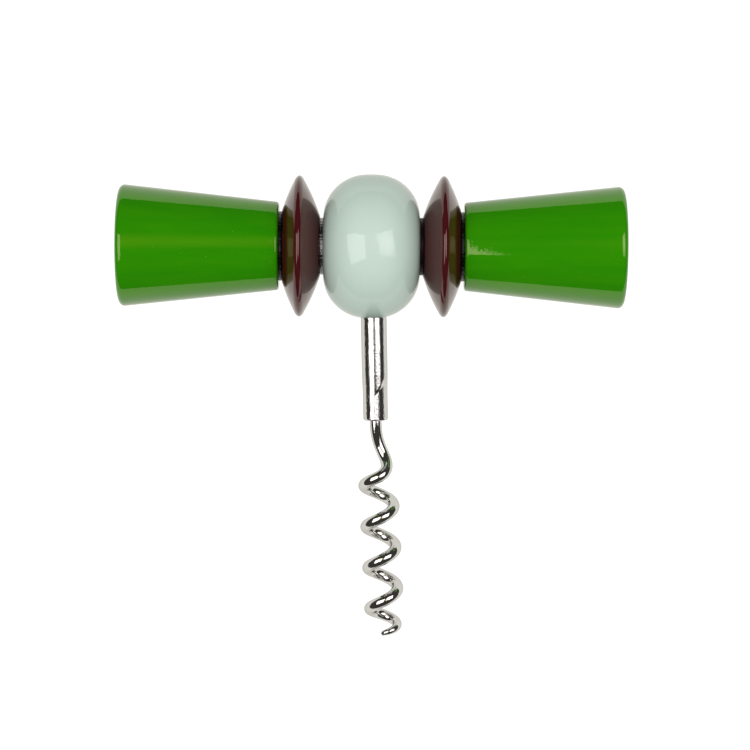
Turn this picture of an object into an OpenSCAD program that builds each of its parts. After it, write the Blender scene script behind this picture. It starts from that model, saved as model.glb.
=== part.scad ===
// Bow corkscrew: lacquered turned beads on a cross handle, a chromed sleeve and a wire worm.
// The handle's axis runs along X. The shank runs toward -Y and the whole lies at rest on the
// centre bead and on the underside of the worm, with the floor at Z = 0.
// The origin is on the floor, midway along the outline in X and in Y.
// Lengths are in millimetres and angles in degrees.

/* [Centre bead] */
// Diameter of the centre bead, the largest of the handle
bead_d = 36; // [30:0.5:42]
// Width of the centre bead along the handle
bead_w = 24.2; // [23:0.2:30]
// Radius of the bead's rounded shoulders
bead_round = 10.9; // [6:0.1:11]
// Radius of the arc that bows the bead's crown along the handle
bead_crown_r = 24; // [16:0.5:30]

/* [Discs] */
// Distance from the crown of the centre bead in to the rim of a disc, which stays off the floor
disc_inset = 0.35; // [0.1:0.05:2]
// Radius of the narrow crest of the rim
disc_crest_r = 0.75; // [0.5:0.05:1.2]
// Angle that the crest turns through on each side of the rim
disc_crest_turn = 35; // [25:1:38]
// Radius of the blend between the crest and a flank
disc_blend_r = 2.1; // [1.5:0.1:3]
// Radius of the arc that bows a flank outward
disc_flank_r = 50; // [40:5:200]
// Distance from the rim to the face toward the centre bead
disc_in_t = 5.2; // [4:0.1:6.5]
// Distance from the rim to the face toward the cone
disc_out_t = 4.35; // [3:0.05:5.5]
// Diameter of the face toward the centre bead
disc_in_hub_d = 14.8; // [12:0.2:17]
// Diameter of the face toward the cone
disc_out_hub_d = 17.6; // [15:0.2:20]

/* [Cones] */
// Length of a cone along the handle
cone_len = 39.9; // [30:0.1:60]
// Diameter of the small end, toward the disc
cone_small_d = 22; // [20:0.2:26]
// Diameter of the large end, at the end of the handle
cone_big_d = 30.7; // [24:0.1:34]
// Radius of the rounded edge of the large end
cone_big_round = 1.4; // [0.4:0.1:3]
// Radius of the rounded edge of the small end
cone_small_round = 0.8; // [0.2:0.1:1.2]

/* [Adhesive seams] */
// Thickness of the seam between the centre bead and a disc
inner_seam_t = 0.75; // [0.3:0.05:1]
// Diameter of the seam between the centre bead and a disc
inner_seam_d = 14.4; // [10:0.2:16]
// Thickness of the seam between a disc and a cone
outer_seam_t = 0.7; // [0.3:0.05:1.5]
// Diameter of the seam between a disc and a cone
outer_seam_d = 17.4; // [12:0.2:19]

/* [Tie rod] */
// Diameter of the rod that the beads are threaded on
rod_d = 4; // [3:0.1:4.4]
// Length of the rod inside each cone
rod_grip = 24; // [10:1:28]
// Room left beyond the rod at the blind end of each cone's bore
rod_end_room = 1; // [0.5:0.5:4]

/* [Sleeve] */
// Outer diameter of the chromed sleeve
sleeve_d = 6.5; // [6.2:0.1:8]
// Distance from the handle's axis to the lower end of the sleeve
sleeve_drop = 43.7; // [36:0.1:60]
// Distance that the sleeve passes beyond the handle's axis inside the bead
sleeve_rise = 5; // [3.5:0.5:8]
// Radius of the rounded edge at the lower end of the sleeve
sleeve_round = 0.5; // [0.2:0.1:0.8]
// Lean of the sleeve from square to the handle
sleeve_lean = 1.4; // [0:0.1:4]
// Distance of the sleeve from the middle of the bead, toward +X
sleeve_off = 0.2; // [-1:0.1:1]
// Room left beyond the sleeve at the blind end of its hole in the bead
sleeve_end_room = 0.5; // [0.2:0.1:2]

/* [Crimp] */
// Diameter of the lower part of the sleeve, squeezed onto the wire
crimp_d = 6.25; // [6:0.05:6.5]
// Length of the squeezed part
crimp_len = 11.5; // [6:0.1:14]
// Length of the slope between the full and the squeezed diameter
crimp_slope = 4; // [0.5:0.1:5]
// Radius of the hollow face of the two jaws that press the sleeve
jaw_r = 4; // [3.5:0.1:12]
// Depth that a jaw presses below the full diameter
jaw_depth = 0.25; // [0.2:0.05:0.9]
// Length of a jaw's mark along the edge of the sleeve where it is shorter
jaw_short = 4.6; // [2:0.1:8]
// Full length of a jaw's mark
jaw_long = 10.3; // [8:0.1:14]
// Slant of the shoulder between them, from square to the sleeve
jaw_slant = 57; // [50:1:70]
// Turn of the first mark round the sleeve, from the top of the lying part toward +X
jaw_turn = 38; // [0:1:90]

/* [Worm] */
// Diameter of the worm's wire
wire_d = 3; // [2.4:0.1:3.2]
// Outer diameter of the worm
worm_d = 10.2; // [8:0.1:12]
// Advance of the worm in one turn
worm_pitch = 10.5; // [8:0.1:13]
// Number of turns, from the mouth of the sleeve to the tip
worm_turns = 4.55; // [3.5:0.05:7]
// Lean of the worm from the line of the sleeve
worm_lean = 1.5; // [0:0.1:4]
// Length over which the wire bends into that lean
worm_bend = 3; // [1:0.5:8]
// Length of wire held inside the sleeve
wire_grip = 20; // [12:1:28]
// Turns in which the wire swings from the sleeve's axis out to the full coil
lead_turns = 0.5; // [0.4:0.05:1]
// Extra advance of the wire in those turns
lead_extra = 8.8; // [4:0.1:12]
// Turns over which the coil closes up and draws in toward the tip
tip_turns = 0.8; // [0.4:0.05:1]
// Advance that the coil loses by closing up
tip_closing = 2.4; // [0:0.1:3]
// Distance that the wire draws in toward the axis at the tip
tip_draw = 1.3; // [0:0.1:2]
// Turns over which the wire thins toward the tip
point_turns = 1.1; // [0.3:0.05:1.5]
// Diameter of the wire at the blunt tip
tip_d = 1.2; // [0.6:0.1:2]

/* [Fits] */
// Clearance round the rod and the sleeve in the beads, on the radius
bore_fit = 0.1; // [0.05:0.01:0.15]
// Clearance round the wire in the sleeve, on the radius
wire_fit = 0.1; // [0.08:0.01:0.15]

/* [Hidden] */

// Facets of the turned shapes in a preview
$fn = 128;
// Sides of the wire's section, and the angle between its sections along the coil
wire_sides = 16;
wire_step = 10;
// Overlap of a cutting shape past the surface that it cuts
past = 1;
// Height by which an arc stands proud of the wider arc that it runs into, so that the two cross
arc_lap = 0.0003;

LEFT = -1;
RIGHT = 1;
CONE_GREEN = "#2E8B00";
OXBLOOD = "#3C1414";
PALE_MINT = "#C3D9CE";
CURED_BLACK = "#101010";
BRIGHT_STEEL = "#C8CBD0";

// Stations along the handle, measured from the middle of the bead
disc_in_x = bead_w / 2 + inner_seam_t;
disc_rim_x = disc_in_x + disc_in_t;
disc_out_x = disc_rim_x + disc_out_t;
cone_x = disc_out_x + outer_seam_t;
rod_half = cone_x + rod_grip;

// Radii of the bores that the rod, the sleeve and the wire pass through
rod_bore_r = rod_d / 2 + bore_fit;
sleeve_bore_r = sleeve_d / 2 + bore_fit;
wire_bore_r = wire_d / 2 + wire_fit;

// The handle rests on the centre bead, or on the cones where they are larger
rest_r = max(bead_d, cone_big_d) / 2;
rim_r = bead_d / 2 - disc_inset;

// Worm: the wire's centre line in the shank's frame, where Z runs down the sleeve
coil_r = (worm_d - wire_d) / 2;
coil_start = -90;
coil_turn = worm_turns * 360;
coil_steps = ceil(coil_turn / wire_step);

// Share from 0 to 1 of a stretch that ends at the tip and is this many turns long
function near_tip(a, turns) = max(0, 1 - (coil_turn - a) / (turns * 360));

// Share from 0 to 1 of the lead-in at an angle along the coil, and its smooth form
function lead(a) = min(1, a / (lead_turns * 360));
function eased(t) = t * t * (3 - 2 * t);

// Distance of the wire below the sleeve's mouth, its distance from the axis and its radius
function coil_drop(a) =
    worm_pitch * a / 360 + lead_extra * (1 - pow(1 - lead(a), 2))
    - tip_closing * pow(near_tip(a, tip_turns), 2);
function coil_out(a) = coil_r * eased(lead(a)) - tip_draw * pow(near_tip(a, tip_turns), 2);
function wire_r(a) = wire_d / 2 - (wire_d - tip_d) / 2 * pow(near_tip(a, point_turns), 3);

// Sideways shift of the coil's axis, which bends into the worm's lean below the sleeve
function lean_shift(drop) =
    tan(worm_lean) * (drop < worm_bend ? drop * drop / (2 * worm_bend) : drop - worm_bend / 2);

function coil_point(a) = let (drop = coil_drop(a), turn = coil_start + a) [
    coil_out(a) * cos(turn) + lean_shift(drop),
    coil_out(a) * sin(turn),
    sleeve_drop + drop,
];

// Sections of the wire: centre, direction, outward direction and radius
coil_angles = [for (i = [0:coil_steps]) coil_turn * i / coil_steps];
function outward(a) = [cos(coil_start + a), sin(coil_start + a), 0];
function unit(v) = v / norm(v);
function heading(a) = unit(coil_point(min(coil_turn, a + 1)) - coil_point(max(0, a - 1)));
sections = concat(
    [[[0, 0, sleeve_drop - wire_grip], [0, 0, 1], outward(0), wire_d / 2]],
    [for (a = coil_angles) [coil_point(a), heading(a), outward(a), wire_r(a)]]
);

function ring(s) =
    let (n = unit(s[2] - (s[2] * s[1]) * s[1]), b = cross(s[1], n))
    [for (j = [0:wire_sides - 1]) let (t = 360 * j / wire_sides) s[0] + s[3] * (n * cos(t) + b * sin(t))];

// Pitch that brings the coil's underside down to the floor under the handle.
// A point at a distance along the shank and a height above it touches at this angle.
function reach(p) = p[2] * cos(sleeve_lean) - p[0] * sin(sleeve_lean);
function touch_pitch(p, r) = atan2(p[1], reach(p)) + asin((rest_r - r) / norm([reach(p), p[1]]));
lie_pitch = min([for (a = coil_angles) touch_pitch(coil_point(a), wire_r(a))]);

// How far the lying part reaches toward -Y, and the middle of its outline in Y
function lying_reach(p) = reach(p) * cos(lie_pitch) + p[1] * sin(lie_pitch);
tip_y = -max([for (a = coil_angles) lying_reach(coil_point(a)) + wire_r(a)]);
middle_y = (rest_r + tip_y) / 2;

// Places what is modelled round the handle's axis as the part lies on the floor
module lying() {
    translate([0, -middle_y, rest_r])
        rotate([lie_pitch, 0, 0])
            children();
}

// Turns a profile round the handle's axis, its second coordinate pointing away from the bead
module turned(side) {
    lying()
        mirror([side < 0 ? 1 : 0, 0, 0])
            rotate([0, 90, 0])
                rotate_extrude()
                    children();
}

// Frame of the shank: Z runs down the sleeve from the handle's axis, Y faces up when lying
module shank() {
    lying()
        translate([sleeve_off, 0, 0])
            rotate([0, 0, sleeve_lean])
                rotate([90, 0, 0])
                    children();
}

// Cylinder along the handle's axis, as far to both sides
module along_handle(r, half) {
    rotate([0, 90, 0])
        cylinder(r = r, h = 2 * half, center = true);
}

// Disc of radius r round c, less what lies before the line from c at an angle from the radius
module disc_past(c, r, turn) {
    intersection() {
        translate(c)
            circle(r = r);
        translate(c)
            rotate(turn)
                translate([-2 * r, 0])
                    square([4 * r, 2 * r]);
    }
}

// Bowed crown that runs into a rounded shoulder on each side
module bead_profile() {
    crown_r = bead_d / 2 - bead_crown_r;
    shoulder_x = bead_w / 2 - bead_round;
    turn = asin(shoulder_x / (bead_crown_r - bead_round));
    shoulder_r = crown_r + (bead_crown_r - bead_round) * cos(turn) + arc_lap;
    far = [2 * bead_d * cos(turn), 2 * bead_d * sin(turn)];
    difference() {
        union() {
            translate([0, -bead_w / 2])
                square([shoulder_r, bead_w]);
            for (s = [-1, 1])
                translate([shoulder_r, s * shoulder_x])
                    circle(r = bead_round);
            intersection() {
                translate([crown_r, 0])
                    circle(r = bead_crown_r);
                translate([crown_r, 0])
                    polygon([[0, 0], [far[0], -far[1]], far]);
            }
        }
        translate([rod_bore_r - 2 * bead_d, -bead_w])
            square([2 * bead_d, 2 * bead_w]);
    }
}

module centre_bead() {
    color(PALE_MINT)
        difference() {
            turned(RIGHT)
                bead_profile();
            shank()
                translate([0, 0, -sleeve_rise - sleeve_end_room])
                    cylinder(r = sleeve_bore_r, h = sleeve_rise + sleeve_end_room + bead_d / 2 + past);
        }
}

// Centre of the circle of radius r through p that wraps the circle of radius s round c
function wrap_centre(p, r, c, s) =
    let (
        d = norm(p - c),
        u = (p - c) / d,
        along = (pow(r - s, 2) - r * r + d * d) / (2 * d),
        aside = sqrt(pow(r - s, 2) - along * along)
    )
    c + along * u + aside * [-u[1], u[0]];

// Half of a disc's profile, from the plane of the rim to the edge of a face.
// Its outline runs from the crest over a blend to a flank that is slightly bowed.
module half_disc(edge) {
    crest_way = [cos(disc_crest_turn), sin(disc_crest_turn)];
    crest = [rim_r - disc_crest_r, 0];
    blend = crest - (disc_blend_r - disc_crest_r + arc_lap) * crest_way;
    bow = wrap_centre(edge, disc_flank_r, blend, disc_blend_r - arc_lap);
    flank_turn = atan2(blend[1] - bow[1], blend[0] - bow[0]);
    intersection() {
        translate([rod_bore_r, 0])
            square([rim_r, edge[1]]);
        union() {
            translate(crest)
                circle(r = disc_crest_r);
            disc_past(blend, disc_blend_r, disc_crest_turn);
            disc_past(bow, disc_flank_r, flank_turn);
        }
    }
}

module disc_profile() {
    translate([0, disc_rim_x]) {
        half_disc([disc_out_hub_d / 2, disc_out_t]);
        mirror([0, 1])
            half_disc([disc_in_hub_d / 2, disc_in_t]);
    }
}

module disc(side) {
    color(OXBLOOD)
        turned(side)
            disc_profile();
}

module cone_profile() {
    taper = atan2((cone_big_d - cone_small_d) / 2, cone_len);
    small_at = cone_small_round;
    big_at = cone_len - cone_big_round;
    small_r = cone_small_d / 2 + small_at * tan(taper) - cone_small_round / cos(taper);
    big_r = cone_small_d / 2 + big_at * tan(taper) - cone_big_round / cos(taper);
    out = [cos(taper), -sin(taper)];
    translate([0, cone_x]) {
        polygon([
            [rod_bore_r, 0],
            [small_r, 0],
            [small_r, small_at],
            [small_r, small_at] + cone_small_round * out,
            [big_r, big_at] + cone_big_round * out,
            [big_r, big_at],
            [big_r, cone_len],
            [0, cone_len],
            [0, rod_grip + rod_end_room],
            [rod_bore_r, rod_grip + rod_end_room],
        ]);
        translate([small_r, small_at])
            circle(r = cone_small_round);
        translate([big_r, big_at])
            circle(r = cone_big_round);
    }
}

module cone(side) {
    color(CONE_GREEN)
        turned(side)
            cone_profile();
}

// Ring of cured adhesive that bulges to a half round at its edge
module seam(side, at, t, d) {
    color(CURED_BLACK)
        turned(side)
            translate([0, at]) {
                translate([rod_bore_r, 0])
                    square([d / 2 - t / 2 - rod_bore_r, t]);
                translate([d / 2 - t / 2, t / 2])
                    circle(r = t / 2);
            }
}

module tie_rod() {
    color(BRIGHT_STEEL)
        lying()
            along_handle(rod_d / 2, rod_half);
}

module sleeve_profile() {
    neck = sleeve_drop - crimp_len;
    edge = [crimp_d / 2 - sleeve_round, sleeve_drop - sleeve_round];
    polygon([
        [wire_bore_r, -sleeve_rise],
        [sleeve_d / 2, -sleeve_rise],
        [sleeve_d / 2, neck],
        [crimp_d / 2, neck + crimp_slope],
        edge + [sleeve_round, 0],
        edge,
        edge + [0, sleeve_round],
        [wire_bore_r, sleeve_drop],
    ]);
    translate(edge)
        circle(r = sleeve_round);
}

// Metal pushed away by the hollow face of one jaw, up to a slanted shoulder
module jaw_mark(turn) {
    half = sleeve_d / 2 + past;
    knee = (jaw_long - jaw_short) / tan(jaw_slant) - sleeve_d / 2;
    rotate([0, 0, -turn])
        intersection() {
            translate([0, 0, sleeve_drop - jaw_long - 2 * past])
                linear_extrude(jaw_long + 3 * past)
                    difference() {
                        translate([-half, 0])
                            square([2 * half, half]);
                        translate([0, sleeve_d / 2 - jaw_depth - jaw_r])
                            circle(r = jaw_r);
                    }
            translate([0, half + past, 0])
                rotate([90, 0, 0])
                    linear_extrude(half + 2 * past)
                        polygon([
                            [-half, sleeve_drop + past],
                            [-half, sleeve_drop - jaw_short + past * tan(jaw_slant)],
                            [knee, sleeve_drop - jaw_long],
                            [half, sleeve_drop - jaw_long],
                            [half, sleeve_drop + past],
                        ]);
        }
}

module sleeve() {
    color(BRIGHT_STEEL)
        difference() {
            shank()
                difference() {
                    rotate_extrude()
                        sleeve_profile();
                    jaw_mark(jaw_turn);
                    jaw_mark(jaw_turn + 180);
                }
            lying()
                along_handle(rod_bore_r, sleeve_d);
        }
}

// One skin swept along the wire: rings of points joined by triangles, with a flat at each end
module worm() {
    last = len(sections) - 1;
    points = [for (s = sections) each ring(s)];
    sides = [
        for (i = [0:last - 1], j = [0:wire_sides - 1])
            let (k = (j + 1) % wire_sides, a = i * wire_sides, b = a + wire_sides)
            each [[a + j, b + j, b + k], [a + j, b + k, a + k]]
    ];
    top_end = [for (j = [0:wire_sides - 1]) j];
    tip_end = [for (j = [0:wire_sides - 1]) last * wire_sides + wire_sides - 1 - j];
    color(BRIGHT_STEEL)
        shank()
            polyhedron(points, concat(sides, [top_end, tip_end]));
}

centre_bead();
disc(LEFT);  // left_disc
disc(RIGHT);  // right_disc
cone(LEFT);  // left_cone
cone(RIGHT);  // right_cone
seam(LEFT, bead_w / 2, inner_seam_t, inner_seam_d);  // left_inner_seam
seam(RIGHT, bead_w / 2, inner_seam_t, inner_seam_d);  // right_inner_seam
seam(LEFT, disc_out_x, outer_seam_t, outer_seam_d);  // left_outer_seam
seam(RIGHT, disc_out_x, outer_seam_t, outer_seam_d);  // right_outer_seam
tie_rod();
sleeve();
worm();
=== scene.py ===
# Looks of the bow corkscrew: lacquered beads, chromed sleeve and worm, black adhesive, and the pale
# table and soft panels that light them. Lengths are in metres, or in millimetres where a name ends
# in _MM or a comment says so.
import math

import bpy
from mathutils import Matrix, Vector, noise


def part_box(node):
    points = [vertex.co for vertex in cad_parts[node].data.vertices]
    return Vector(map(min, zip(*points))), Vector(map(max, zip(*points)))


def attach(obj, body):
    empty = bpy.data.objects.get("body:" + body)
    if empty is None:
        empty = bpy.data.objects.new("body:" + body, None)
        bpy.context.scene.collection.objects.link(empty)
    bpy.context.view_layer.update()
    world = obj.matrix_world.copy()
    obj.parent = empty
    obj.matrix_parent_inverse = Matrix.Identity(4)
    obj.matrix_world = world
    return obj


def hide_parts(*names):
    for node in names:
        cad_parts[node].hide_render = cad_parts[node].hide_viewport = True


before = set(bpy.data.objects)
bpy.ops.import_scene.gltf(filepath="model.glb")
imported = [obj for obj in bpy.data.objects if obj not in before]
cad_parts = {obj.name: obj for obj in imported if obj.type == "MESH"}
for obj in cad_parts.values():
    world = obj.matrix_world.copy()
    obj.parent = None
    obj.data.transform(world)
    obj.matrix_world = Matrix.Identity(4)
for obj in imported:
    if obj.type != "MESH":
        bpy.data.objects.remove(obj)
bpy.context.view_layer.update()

MM = 0.001
BODY = "root"

# Camera, fitted to the photograph of 750 by 750 pixels
PHOTO_PX = 750
SENSOR_MM = 36.0
FOCAL_PX = 2720.0
CAMERA_DISTANCE = 0.680
BEAD_CENTRE_PX = (371.49, 246.4)
CAMERA_RAISE = math.radians(6.0)
CAMERA_ROLL = math.radians(0.30)

# Worm and sleeve, in millimetres, with the dimensions of the part's source
WIRE_D = 3.0
WORM_D = 10.2
WORM_PITCH = 10.5
WORM_TURNS = 4.55
WORM_LEAN = math.radians(1.5)
WORM_BEND = 3.0
WIRE_GRIP = 20.0
LEAD_TURNS = 0.5
LEAD_EXTRA = 8.8
TIP_TURNS = 0.8
TIP_CLOSING = 2.4
TIP_DRAW = 1.3
POINT_TURNS = 1.1
TIP_D = 1.2
SLEEVE_DROP = 43.7
SLEEVE_LEAN = math.radians(1.4)
SLEEVE_OFF = 0.2

COIL_R = (WORM_D - WIRE_D) / 2
COIL_START = math.radians(-90)
COIL_TURN = WORM_TURNS * math.tau
WIRE_SIDES = 48
WIRE_STEP = math.radians(3)
COIL_STEPS = math.ceil(COIL_TURN / WIRE_STEP)
COIL_ANGLES = [COIL_TURN * i / COIL_STEPS for i in range(COIL_STEPS + 1)]
HEADING_NUDGE = math.radians(0.5)

# Adhesive rings: facets, bore in millimetres, and the share and fineness per millimetre of each
# size of lump
GLUE_AROUND = 480
GLUE_ACROSS = 10
GLUE_BORE = 2.1
GLUE_LUMPS = ((0.6, 1.1), (0.4, 2.7))
LUMP_MIDDLE = 0.5

# Adhesive at each joint: how far its crest climbs toward the bead and the height of its lumps, in
# millimetres, and its kind
JOINTS = {
    "left_inner": (0.14, 0.08, "glossy"),
    "right_inner": (0.0, 0.05, "dull"),
    "left_outer": (0.0, 0.16, "satin"),
    "right_outer": (0.0, 0.12, "satin"),
}

# Mark of the crimping jaw on the sleeve, in millimetres: where its crease starts below the handle's
# axis, how much it climbs aside, its ramp and how that widens aside, its depth, its face's tilt and
# half the width over which it begins
PRESS_DROP = 36.6
PRESS_SLANT = 1.5
PRESS_RAMP = 0.6
PRESS_FADE = 0.45
PRESS_DEPTH = 0.14
PRESS_TILT = 0.06
PRESS_BEGINS = 0.3

# Lacquers: the two colours that each is streaked between, its finish and the depth of its peel
GREEN_COLOURS = ((0.018, 0.240, 0.0), (0.028, 0.258, 0.0))
GREEN_FINISH = {"Roughness": 0.03, "IOR": 1.63, "Specular Tint": (1.0, 0.82, 0.48, 1)}
GREEN_PEEL_MM = 0.005
OXBLOOD_COLOURS = ((0.053, 0.004, 0.006), (0.057, 0.004, 0.006))
OXBLOOD_FINISH = {"Roughness": 0.03, "IOR": 1.58, "Specular Tint": (1.0, 0.86, 0.77, 1)}
OXBLOOD_PEEL_MM = 0.002
MINT_COLOURS = ((0.532, 0.682, 0.590), (0.540, 0.692, 0.598))
MINT_FINISH = {"Specular IOR Level": 0.0, "Coat Weight": 1.0, "Coat Roughness": 0.02, "Coat IOR": 1.45}
MINT_PEEL_MM = 0.0015
PEEL_SIZE_MM = 0.5

# The noise of a cloud seldom leaves this range, which is spread over the values that it gives
CLOUD_LOW = 0.3
CLOUD_HIGH = 0.7

# Streaks in the lacquer, drawn out along the handle, and grains of dust: how far apart they lie, their
# size as a share of that, how much they show, and the share of the lacquer's colour that they keep
# under a pale one
STREAK_SIZE_MM = 3.5
STREAK_SQUEEZE = 0.12
DUST_APART_MM = 3.4
DUST_SIZE = 0.035
DUST_SHOWS = 0.35
DUST_KEEPS = 0.6
DUST_PALE = (0.30, 0.28, 0.12)

# Black painted on the discs beyond this distance from the bead's middle, in the groove where they meet the
# cones
GROOVE_BLACK_FROM = 21.95 * MM
GROOVE_BLACK_RAGGED = 0.2 * MM
GROOVE_BLACK_LUMP_MM = 0.7
GROOVE_BLACK_COLOUR = (0.004, 0.004, 0.004, 1)

# Chrome plate: its finish, the size and depth of its grain, and the size of its stains, the range of
# their noise and the roughness at either end of it
CHROME_FINISH = {
    "Base Color": (0.62, 0.62, 0.60, 1),
    "Metallic": 1.0,
    "Specular Tint": (0.72, 0.72, 0.71, 1),
}
GRAIN_SIZE_MM = 0.28
GRAIN_DEPTH_MM = 0.035
WORM_GRAIN_DEPTH_MM = 0.01
STAIN_SIZE_MM = 0.8
STAIN_RANGE = (0.35, 0.65)
STAIN_ROUGHNESS = (0.02, 0.07)

# Adhesive: the two blacks that it is clouded between, the size of its clouds and of its bumps, and
# three kinds of it, each with its material's name, its finish and the depth of its bumps in mm
GLUE_COLOURS = ((0.003, 0.003, 0.003, 1), (0.012, 0.011, 0.010, 1))
GLUE_CLOUD_MM = 0.6
GLUE_BUMP_MM = 0.45
GLUE_KINDS = {
    "dull": ("adhesive", {"Roughness": 0.4, "IOR": 1.45, "Specular IOR Level": 0.15}, 0.08),
    "satin": ("adhesive_damp", {"Roughness": 0.22, "IOR": 1.5, "Specular IOR Level": 0.35}, 0.16),
    "glossy": ("adhesive_wet", {"Roughness": 0.08, "IOR": 2.6}, 0.22),
}

# Table: it glows less for soft light than for reflections, and white for the lens
WHITE = (1, 1, 1, 1)
TABLE_GLOW = 0.85
TABLE_SOFT = 0.30
TABLE_TINT = (1.0, 0.985, 0.92, 1)
TABLE_WHITE = 0.15
TABLE_X = 0.25
TABLE_NEAR_Y = -0.22
TABLE_FAR_Y = 0.42

# Room: dark in reflections but for a dim glow near the lens, and some soft light from all round
ROOM_DARK = (0.055, 0.052, 0.048)
ROOM_SOFT = (0.40, 0.40, 0.40)
ROOM_GLOW = (0.62, 0.52, 0.12)
GLOW_AT = (math.radians(5), math.radians(6))
GLOW_REACH = 0.36

# Two soft panels: the angles of their middles across and up from the direction of the lens, then
# their corners across and up in their own planes with each corner's share of PANEL_DISTANCE, and
# their radiance at the middle and at EDGE_AT from it
PANEL_DISTANCE = 0.62
PANEL_COLOUR = (1.0, 0.94, 0.96, 1)
EDGE_AT = 0.26
LEFT_PANEL_AT = (math.radians(-32), math.radians(-4))
LEFT_PANEL = ((-0.130, -0.295, 1.0), (0.288, -0.219, 0.75), (0.285, 0.234, 0.61), (-0.228, 0.222, 1.0))
LEFT_RADIANCE = (3.3, 2.9)
RIGHT_PANEL_AT = (math.radians(32), math.radians(3))
RIGHT_PANEL = ((-0.259, -0.233, 0.8), (0.229, -0.235, 1.0), (0.134, 0.237, 1.0), (-0.303, 0.159, 0.42))
RIGHT_RADIANCE = (4.2, 1.6)

# The tie rod lies on the handle's axis, and the handle rests on the bead
rod_low, rod_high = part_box("tie_rod")
HANDLE_CENTRE = (rod_low + rod_high) / 2
REST_R = HANDLE_CENTRE.z / MM


# The wire at angle a along the coil, in millimetres, with Z down the sleeve from the handle's axis


def near_tip(a, turns):
    return max(0.0, 1 - (COIL_TURN - a) / (turns * math.tau))


def eased(t):
    return t * t * (3 - 2 * t)


def lead(a):
    return min(1.0, a / (LEAD_TURNS * math.tau))


def coil_drop(a):
    ahead = WORM_PITCH * a / math.tau + LEAD_EXTRA * (1 - (1 - lead(a)) ** 2)
    return ahead - TIP_CLOSING * near_tip(a, TIP_TURNS) ** 2


def coil_out(a):
    return COIL_R * eased(lead(a)) - TIP_DRAW * near_tip(a, TIP_TURNS) ** 2


def wire_radius(a):
    return WIRE_D / 2 - (WIRE_D - TIP_D) / 2 * near_tip(a, POINT_TURNS) ** 3


def lean_shift(drop):
    bent = drop * drop / (2 * WORM_BEND) if drop < WORM_BEND else drop - WORM_BEND / 2
    return math.tan(WORM_LEAN) * bent


def coil_point(a):
    drop = coil_drop(a)
    turn = COIL_START + a
    out = coil_out(a)
    return Vector((out * math.cos(turn) + lean_shift(drop), out * math.sin(turn), SLEEVE_DROP + drop))


def touch_pitch(p, r):
    """Pitch of the corkscrew at which the wire of radius r about this point touches the table."""
    along = p.z * math.cos(SLEEVE_LEAN) - p.x * math.sin(SLEEVE_LEAN)
    return math.atan2(p.y, along) + math.asin((REST_R - r) / math.hypot(along, p.y))


LIE_PITCH = min(touch_pitch(coil_point(a), wire_radius(a)) for a in COIL_ANGLES)


def shank_frame():
    """From the sleeve's frame in millimetres, Z down the sleeve, to the row frame in metres."""
    place = Matrix.Translation(HANDLE_CENTRE) @ Matrix.Rotation(LIE_PITCH, 4, "X")
    place = place @ Matrix.Translation((SLEEVE_OFF * MM, 0, 0)) @ Matrix.Rotation(SLEEVE_LEAN, 4, "Z")
    place = place @ Matrix.Rotation(math.radians(90), 4, "X")
    return place @ Matrix.Diagonal((MM, MM, MM, 1.0))


# Meshes


def new_mesh_object(name, points, faces):
    mesh = bpy.data.meshes.new(name)
    mesh.from_pydata([tuple(p) for p in points], [], faces)
    mesh.update()
    mesh.polygons.foreach_set("use_smooth", [True] * len(mesh.polygons))
    piece = bpy.data.objects.new(name, mesh)
    bpy.context.scene.collection.objects.link(piece)
    return piece


def quads_between(rings, width, closed):
    """Faces from each ring of points to the next, and from the last to the first if closed."""
    faces = []
    for i in range(rings if closed else rings - 1):
        a = i * width
        b = (i + 1) % rings * width
        for j in range(width):
            k = (j + 1) % width
            faces.append((a + j, a + k, b + k, b + j))
    return faces


def worm_sections():
    """Centre, direction, outward direction and radius of each ring of the wire."""
    top = Vector((0, 0, SLEEVE_DROP - WIRE_GRIP))
    out = Vector((math.cos(COIL_START), math.sin(COIL_START), 0))
    sections = [(top, Vector((0, 0, 1)), out, WIRE_D / 2)]
    for a in COIL_ANGLES:
        ahead = coil_point(min(COIL_TURN, a + HEADING_NUDGE))
        behind = coil_point(max(0.0, a - HEADING_NUDGE))
        out = Vector((math.cos(COIL_START + a), math.sin(COIL_START + a), 0))
        sections.append((coil_point(a), (ahead - behind).normalized(), out, wire_radius(a)))
    return sections


def make_worm(material):
    place = shank_frame()
    points = []
    for centre, heading, out, r in worm_sections():
        side = (out - out.dot(heading) * heading).normalized()
        up = heading.cross(side)
        for j in range(WIRE_SIDES):
            t = math.tau * j / WIRE_SIDES
            points.append(place @ (centre + r * (side * math.cos(t) + up * math.sin(t))))
    rings = len(points) // WIRE_SIDES
    last = (rings - 1) * WIRE_SIDES
    faces = quads_between(rings, WIRE_SIDES, closed=False)
    faces.append(tuple(reversed(range(WIRE_SIDES))))
    faces.append(tuple(range(last, last + WIRE_SIDES)))
    worm = new_mesh_object("bright_worm", points, faces)
    worm.data.materials.append(material)
    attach(worm, BODY)
    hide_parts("worm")


def glue_lumps(spot):
    return sum(share * noise.noise(spot * fineness) for share, fineness in GLUE_LUMPS)


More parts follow.
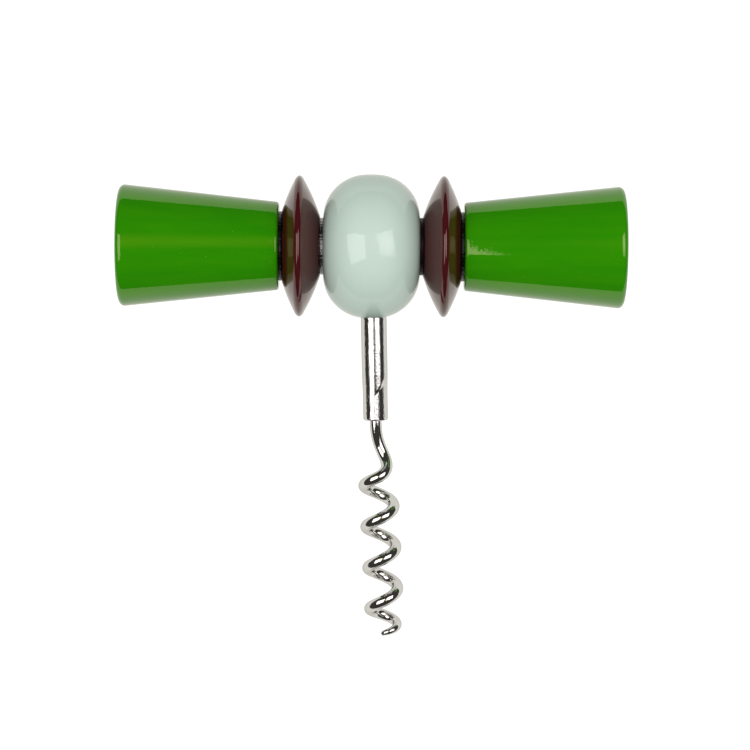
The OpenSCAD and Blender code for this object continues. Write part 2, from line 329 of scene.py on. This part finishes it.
def make_glue(joint, rise, lump, material):
    """Ring of cured adhesive with a lumpy crest, inside the seam of the CAD that it replaces."""
    node = joint + "_seam"
    low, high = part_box(node)
    near_bead, far = sorted((low.x, high.x), key=abs)
    crest = (high.z - low.z) / 2 / MM
    points = []
    for i in range(GLUE_AROUND):
        turn = math.tau * i / GLUE_AROUND
        section = [(far, GLUE_BORE)]
        for j in range(GLUE_ACROSS + 1):
            share = j / GLUE_ACROSS
            x = far + (near_bead - far) * share
            spot = Vector((x / MM, crest * math.cos(turn), crest * math.sin(turn)))
            r = crest - rise * (1 - share) - lump * (LUMP_MIDDLE + glue_lumps(spot))
            section.append((x, min(r, crest)))
        section.append((x, GLUE_BORE))
        for x, r in section:
            y = HANDLE_CENTRE.y + r * MM * math.cos(turn)
            points.append((x, y, HANDLE_CENTRE.z + r * MM * math.sin(turn)))
    faces = quads_between(GLUE_AROUND, len(section), closed=True)
    if near_bead > far:
        faces = [face[::-1] for face in faces]
    ring = new_mesh_object(joint + "_glue", points, faces)
    ring.data.materials.append(material)
    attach(ring, BODY)
    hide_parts(node)


# Materials


def put(tree, kind, inputs=(), **settings):
    """New node with these settings, each input given as a value or as a socket to link from."""
    node = tree.nodes.new(kind)
    for name, value in settings.items():
        setattr(node, name, value)
    for socket, value in dict(inputs).items():
        if isinstance(value, bpy.types.NodeSocket):
            tree.links.new(value, node.inputs[socket])
        else:
            node.inputs[socket].default_value = value
    return node


def new_material(name, finish):
    """Material with these values on the sockets of its shader."""
    material = bpy.data.materials.new(name)
    material.use_nodes = True
    tree = material.node_tree
    shader = tree.nodes["Principled BSDF"]
    for socket, value in finish.items():
        shader.inputs[socket].default_value = value
    return material, tree, shader


def place_on_object(tree):
    return put(tree, "ShaderNodeTexCoord").outputs["Object"]


def calc(tree, operation, a, b=0.0, c=0.0):
    return put(tree, "ShaderNodeMath", {0: a, 1: b, 2: c}, operation=operation).outputs["Value"]


def vector_calc(tree, operation, a, b=(0, 0, 0)):
    return put(tree, "ShaderNodeVectorMath", {0: a, 1: b}, operation=operation).outputs


def mix_colours(tree, share, a, b):
    return put(tree, "ShaderNodeMix", {0: share, 6: a, 7: b}, data_type="RGBA").outputs[2]


def cloud(tree, place, size_mm, detail=2.0):
    """Noise with features of about this size."""
    inputs = {"Vector": place, "Scale": 1 / (size_mm * MM), "Detail": detail}
    return put(tree, "ShaderNodeTexNoise", inputs).outputs["Fac"]


def spread(tree, value, low, high, to_low, to_high):
    """This value's range from low to high, carried over to the other two."""
    inputs = {"Value": value, "From Min": low, "From Max": high, "To Min": to_low, "To Max": to_high}
    return put(tree, "ShaderNodeMapRange", inputs).outputs["Result"]


def fade(tree, distance, reach, at_middle, at_reach):
    """Smooth passage from one value to the other as the distance grows to this reach."""
    inputs = {"Value": distance, "From Max": reach, "To Min": at_middle, "To Max": at_reach}
    return put(tree, "ShaderNodeMapRange", inputs, interpolation_type="SMOOTHSTEP").outputs["Result"]


def dimple(tree, shader, height, depth_mm, sockets=("Normal",)):
    bump = put(tree, "ShaderNodeBump", {"Height": height, "Distance": depth_mm * MM, "Strength": 1.0})
    for socket in sockets:
        tree.links.new(bump.outputs["Normal"], shader.inputs[socket])


def streaks(tree, place):
    """Cloudy streaks along the handle, from zero to one."""
    squeezed = put(tree, "ShaderNodeMapping", {"Vector": place, "Scale": (STREAK_SQUEEZE, 1, 1)})
    clouds = cloud(tree, squeezed.outputs["Vector"], STREAK_SIZE_MM)
    return spread(tree, clouds, CLOUD_LOW, CLOUD_HIGH, 0.0, 1.0)


def dust(tree, place):
    """How much a grain of dust shows, which is zero between the grains."""
    grain = put(tree, "ShaderNodeTexVoronoi", {"Vector": place, "Scale": 1 / (DUST_APART_MM * MM)})
    return calc(tree, "MULTIPLY", calc(tree, "LESS_THAN", grain.outputs["Distance"], DUST_SIZE), DUST_SHOWS)


def groove_black(tree, place):
    """One where the disc is painted black, in the groove beside the cone, with a ragged edge, and zero
    elsewhere.
    """
    from_middle = put(tree, "ShaderNodeSeparateXYZ", {"Vector": place}).outputs["X"]
    lumps = cloud(tree, place, GROOVE_BLACK_LUMP_MM)
    edge = spread(tree, lumps, CLOUD_LOW, CLOUD_HIGH, -GROOVE_BLACK_RAGGED, GROOVE_BLACK_RAGGED)
    out = calc(tree, "ADD", calc(tree, "ABSOLUTE", from_middle), edge)
    return calc(tree, "GREATER_THAN", out, GROOVE_BLACK_FROM)


def lacquer(name, colours, finish, peel_mm, groove_blackened=False):
    """Glossy lacquer streaked between two colours, with grains of dust in it and a fine peel."""
    material, tree, shader = new_material(name, finish)
    place = place_on_object(tree)
    shown = mix_colours(tree, streaks(tree, place), (*colours[0], 1), (*colours[1], 1))
    dusty = tuple(DUST_KEEPS * c + pale for c, pale in zip(colours[1], DUST_PALE))
    shown = mix_colours(tree, dust(tree, place), shown, (*dusty, 1))
    # Paint the disc black in the groove beside the cone, with a ragged edge
    if groove_blackened:
        shown = mix_colours(tree, groove_black(tree, place), shown, GROOVE_BLACK_COLOUR)
    tree.links.new(shown, shader.inputs["Base Color"])
    sockets = ("Normal", "Coat Normal") if finish.get("Coat Weight") else ("Normal",)
    dimple(tree, shader, cloud(tree, place, PEEL_SIZE_MM, 0.0), peel_mm, sockets)
    return material


def jaw_press(tree, place):
    """Height in mm of the mark that a jaw left, below a slanted crease on one half of the sleeve."""
    sleeve = shank_frame()
    down, aside = (sleeve.col[i].to_3d().normalized() for i in (2, 0))
    lengths = []
    for axis in (down, aside):
        along = vector_calc(tree, "DOT_PRODUCT", place, axis)["Value"]
        lengths.append(calc(tree, "MULTIPLY_ADD", along, 1 / MM, -sleeve.translation.dot(axis) / MM))
    drop, side = lengths
    below = calc(tree, "MULTIPLY_ADD", side, PRESS_SLANT, drop)
    past = calc(tree, "SUBTRACT", below, PRESS_DROP)
    ramp = calc(tree, "MULTIPLY_ADD", side, PRESS_FADE, PRESS_RAMP)
    pressed = spread(tree, calc(tree, "DIVIDE", past, ramp), 0.0, 1.0, 0.0, 1.0)
    half = spread(tree, side, -PRESS_BEGINS, PRESS_BEGINS, 0.0, 1.0)
    depth = calc(tree, "MULTIPLY_ADD", side, -PRESS_TILT, -PRESS_DEPTH)
    return calc(tree, "MULTIPLY", calc(tree, "MULTIPLY", pressed, half), depth)


def chrome(name, grain_mm, press=None):
    """Chrome plate with a slightly uneven drawn surface."""
    material, tree, shader = new_material(name, CHROME_FINISH)
    place = place_on_object(tree)
    stain = spread(tree, cloud(tree, place, STAIN_SIZE_MM), *STAIN_RANGE, *STAIN_ROUGHNESS)
    tree.links.new(stain, shader.inputs["Roughness"])
    height = calc(tree, "MULTIPLY", cloud(tree, place, GRAIN_SIZE_MM, 0.0), grain_mm)
    if press:
        height = calc(tree, "ADD", height, press(tree, place))
    dimple(tree, shader, height, 1.0)
    return material


def adhesive(name, finish, bump_mm):
    material, tree, shader = new_material(name, finish)
    place = place_on_object(tree)
    tone = mix_colours(tree, cloud(tree, place, GLUE_CLOUD_MM), *GLUE_COLOURS)
    tree.links.new(tone, shader.inputs["Base Color"])
    dimple(tree, shader, cloud(tree, place, GLUE_BUMP_MM), bump_mm)
    return material


def paint(node, material):
    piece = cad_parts[node]
    piece.data.materials.clear()
    piece.data.materials.append(material)


# Pieces of the corkscrew

green = lacquer("green_lacquer", GREEN_COLOURS, GREEN_FINISH, GREEN_PEEL_MM)
# The discs are painted black in the groove beside the cones
oxblood = lacquer("oxblood_lacquer", OXBLOOD_COLOURS, OXBLOOD_FINISH, OXBLOOD_PEEL_MM, groove_blackened=True)
for end in ("left", "right"):
    paint(end + "_cone", green)
    paint(end + "_disc", oxblood)
paint("centre_bead", lacquer("mint_lacquer", MINT_COLOURS, MINT_FINISH, MINT_PEEL_MM))
paint("tie_rod", chrome("chrome_plate", GRAIN_DEPTH_MM))
paint("sleeve", chrome("chrome_plate_sleeve", GRAIN_DEPTH_MM, jaw_press))
make_worm(chrome("chrome_plate_worm", WORM_GRAIN_DEPTH_MM))

blacks = {kind: adhesive(*looks) for kind, looks in GLUE_KINDS.items()}
for joint, (rise, lump, kind) in JOINTS.items():
    make_glue(joint, rise, lump, blacks[kind])


# Studio


def view_turn():
    """Rotation from the camera's level axes, X right, Y up and Z toward the lens, to the row frame."""
    return Matrix.Rotation(LIE_PITCH - CAMERA_RAISE, 3, "X")


def make_camera():
    data = bpy.data.cameras.new("photo_camera")
    data.sensor_width = SENSOR_MM
    data.lens = FOCAL_PX / PHOTO_PX * SENSOR_MM
    camera = bpy.data.objects.new("photo_camera", data)
    bpy.context.scene.collection.objects.link(camera)
    turn = view_turn() @ Matrix.Rotation(CAMERA_ROLL, 3, "Z")
    half = PHOTO_PX / 2
    scale = CAMERA_DISTANCE / FOCAL_PX
    seen_x = (BEAD_CENTRE_PX[0] - half) * scale
    seen_y = (half - BEAD_CENTRE_PX[1]) * scale
    seen = Vector((seen_x, seen_y, -CAMERA_DISTANCE))
    camera.matrix_world = Matrix.Translation(HANDLE_CENTRE - turn @ seen) @ turn.to_4x4()
    bpy.context.scene.camera = camera


def toward_camera_side(across, up):
    """Direction at these angles across and up from the direction of the lens."""
    level = Vector((math.sin(across) * math.cos(up), math.sin(up), math.cos(across) * math.cos(up)))
    return view_turn() @ level


def staged(name, points):
    stage = new_mesh_object(name, points, [tuple(range(len(points)))])
    return stage


def make_table():
    near = [(x, TABLE_NEAR_Y, 0) for x in (-TABLE_X, TABLE_X)]
    far = [(x, TABLE_FAR_Y, 0) for x in (TABLE_X, -TABLE_X)]
    table = staged("pale_table", near + far)
    pale = (TABLE_WHITE, TABLE_WHITE, TABLE_WHITE, 1)
    finish = {"Base Color": pale, "Roughness": 1.0, "Specular IOR Level": 0.0}
    material, tree, shader = new_material("pale_table", finish)
    material.cycles.emission_sampling = "NONE"
    path = put(tree, "ShaderNodeLightPath").outputs
    glow = spread(tree, path["Is Diffuse Ray"], 0.0, 1.0, TABLE_GLOW, TABLE_SOFT)
    glow = calc(tree, "MAXIMUM", glow, path["Is Camera Ray"])
    tree.links.new(glow, shader.inputs["Emission Strength"])
    tint = mix_colours(tree, path["Is Camera Ray"], TABLE_TINT, WHITE)
    tree.links.new(tint, shader.inputs["Emission Color"])
    table.data.materials.append(material)


def make_panel(name, at, corners, radiance):
    """Soft panel in this direction from the bead, seen by reflections and soft light, not by the lens."""
    toward = toward_camera_side(*at)
    across_axis = (view_turn() @ Vector((0, 1, 0))).cross(toward).normalized()
    turn = Matrix((across_axis, toward.cross(across_axis), toward)).transposed()
    points = [(a * share, b * share, PANEL_DISTANCE * (share - 1)) for a, b, share in reversed(corners)]
    panel = staged(name, points)
    panel.matrix_world = Matrix.Translation(HANDLE_CENTRE + PANEL_DISTANCE * toward) @ turn.to_4x4()
    panel.visible_camera = False
    material = bpy.data.materials.new(name)
    material.use_nodes = True
    tree = material.node_tree
    tree.nodes.clear()
    flat = vector_calc(tree, "MULTIPLY", place_on_object(tree), (1, 1, 0))["Vector"]
    from_middle = vector_calc(tree, "LENGTH", flat)["Value"]
    strength = fade(tree, from_middle, EDGE_AT, *radiance)
    glow = put(tree, "ShaderNodeEmission", {"Color": PANEL_COLOUR, "Strength": strength})
    put(tree, "ShaderNodeOutputMaterial", {"Surface": glow.outputs["Emission"]})
    panel.data.materials.append(material)


def make_room():
    world = bpy.data.worlds.new("dark_room")
    bpy.context.scene.world = world
    world.use_nodes = True
    world.cycles.sampling_method = "NONE"
    tree = world.node_tree
    tree.nodes.clear()
    path = put(tree, "ShaderNodeLightPath").outputs
    heading = put(tree, "ShaderNodeTexCoord").outputs["Generated"]
    apart = vector_calc(tree, "DISTANCE", heading, toward_camera_side(*GLOW_AT))["Value"]
    glow = fade(tree, apart, GLOW_REACH, 1.0, 0.0)
    shown = mix_colours(tree, glow, (*ROOM_DARK, 1), (*ROOM_GLOW, 1))
    shown = mix_colours(tree, path["Is Diffuse Ray"], shown, (*ROOM_SOFT, 1))
    shown = mix_colours(tree, path["Is Camera Ray"], shown, WHITE)
    back = put(tree, "ShaderNodeBackground", {"Color": shown})
    put(tree, "ShaderNodeOutputWorld", {"Surface": back.outputs["Background"]})


make_camera()
make_table()
make_room()
make_panel("left_panel", LEFT_PANEL_AT, LEFT_PANEL, LEFT_RADIANCE)
make_panel("right_panel", RIGHT_PANEL_AT, RIGHT_PANEL, RIGHT_RADIANCE)

bpy.context.scene.view_settings.view_transform = "Standard"
